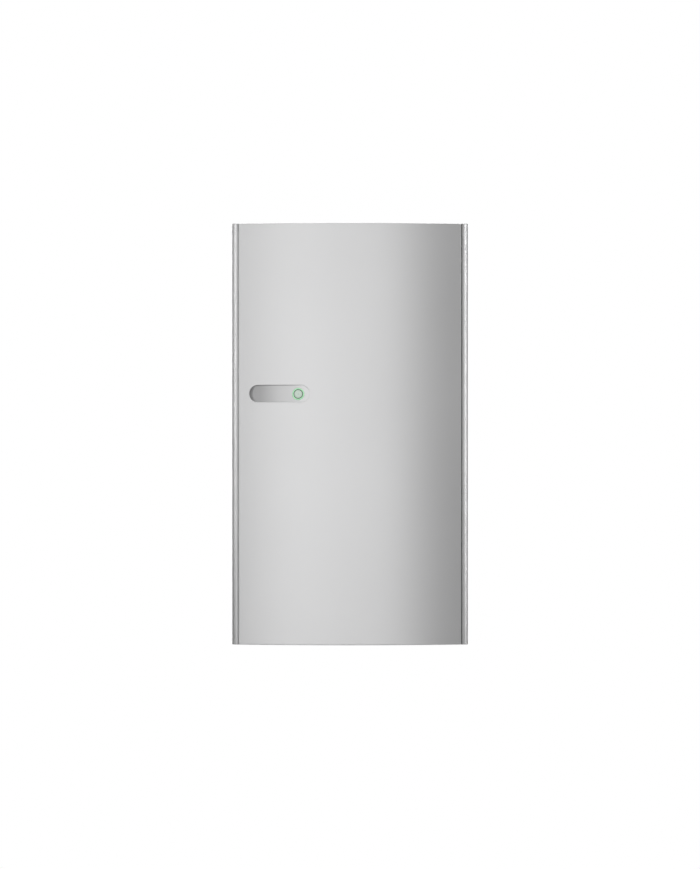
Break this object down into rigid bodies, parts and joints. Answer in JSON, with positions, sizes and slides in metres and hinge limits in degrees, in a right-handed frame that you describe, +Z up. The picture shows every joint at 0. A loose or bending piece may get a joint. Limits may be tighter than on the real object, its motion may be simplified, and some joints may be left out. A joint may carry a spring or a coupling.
{
  "type": "wall battery unit",
  "caption": "Wall-hung home battery: bowed lift-off front cover with a pill recess and lit ring, over a base unit with cell pack, small inverters, wiring box and switch, on a hook-on bracket.",
  "frame": {"origin": "centre of the wall bracket's bolt pattern, on the wall plane", "axes": "+X to the right of someone facing the unit, +Y into the wall (the front faces -Y), +Z up"},
  "size_m": [0.55, 0.188, 0.98],
  "materials": {
    "galvanised_steel": "hot-dip galvanised sheet, dull spangle",
    "chassis_paint": "dark grey powder coat, fine texture",
    "silver_paint": "satin silver-grey paint",
    "cast_aluminium": "bead-blasted casting",
    "lid_paint": "dark grey powder coat",
    "inverter_casting": "grey anodised casting",
    "zinc_steel": "zinc plated, satin",
    "cell_film": "blue insulating film over an aluminium can",
    "copper": "bare copper",
    "tinned_pole": "turned aluminium",
    "brass": "machined brass",
    "board_green": "solder mask",
    "black_plastic": "moulded black plastic",
    "grey_plastic": "moulded light grey plastic",
    "white_plastic": "moulded white insulating plastic",
    "seal_rubber": "foam silicone seal",
    "pad_silicone": "soft gap-filler sheet",
    "cable_jacket": "round black jacket",
    "ring_glow": "translucent lens, lit green",
    "lens_disc": "frosted clear lens",
    "ceramic_body": "glazed fuse body",
    "handle_red": "moulded red plastic"
  },
  "bodies": {
    "base": {"wall_bracket": "galvanised_steel", "hang_hooks": "galvanised_steel", "bracket_lock_screws": "zinc_steel", "chassis": "chassis_paint", "cover_studs": "zinc_steel", "pack_housing": "cast_aluminium", "battery_cells": "cell_film", "cell_terminals": "tinned_pole", "cell_spacers": "white_plastic", "end_plates": "cast_aluminium", "tie_straps": "zinc_steel", "cell_holder_plate": "black_plastic", "busbars": "copper", "battery_board": "board_green", "main_contactor": "black_plastic", "main_fuse": "ceramic_body", "pack_gasket": "seal_rubber", "pack_lid": "lid_paint", "breather_vent": "black_plastic", "thermal_pads": "pad_silicone", "lid_screws": "zinc_steel", "board_standoffs": "brass", "board_chips": "black_plastic", "inverter_carrier": "cast_aluminium", "microinverter_1": "inverter_casting", "microinverter_2": "inverter_casting", "microinverter_3": "inverter_casting", "microinverter_4": "inverter_casting", "microinverter_5": "inverter_casting", "microinverter_6": "inverter_casting", "inverter_screws": "zinc_steel", "battery_cable": "cable_jacket", "grid_cable": "cable_jacket", "inverter_link_cable": "cable_jacket", "cable_plugs": "black_plastic", "cable_glands": "grey_plastic", "status_board_stand": "white_plastic", "status_board": "board_green", "status_lamp": "lens_disc", "lifting_grips": "black_plastic", "wiring_box": "cast_aluminium", "wiring_gasket": "seal_rubber", "wiring_lid": "lid_paint", "terminal_block": "grey_plastic", "wire_clamp_screws": "zinc_steel", "ground_bar": "brass", "control_board": "board_green", "control_plugs": "white_plastic", "conduit_plug": "black_plastic", "switch_body": "black_plastic", "switch_plate": "grey_plastic"},
    "cover": {"cover_shell": "silver_paint", "notch_filler": "silver_paint", "cover_sockets": "black_plastic", "status_light_ring": "ring_glow", "status_light_seal": "black_plastic", "status_light_disc": "lens_disc", "light_pipe": "lens_disc"},
    "switch_handle": {"switch_handle": "handle_red"}
  },
  "joints": [
    {"name": "cover_lift", "type": "slide", "parent": "base", "child": "cover", "axis": [0, -1, 0], "range_m": [0, 0.3]},
    {"name": "switch_turn", "type": "hinge", "parent": "base", "child": "switch_handle", "pos_m": [0.2525, -0.07, 0.432], "axis": [1, 0, 0], "range_deg": [0, 90]}
  ]
}
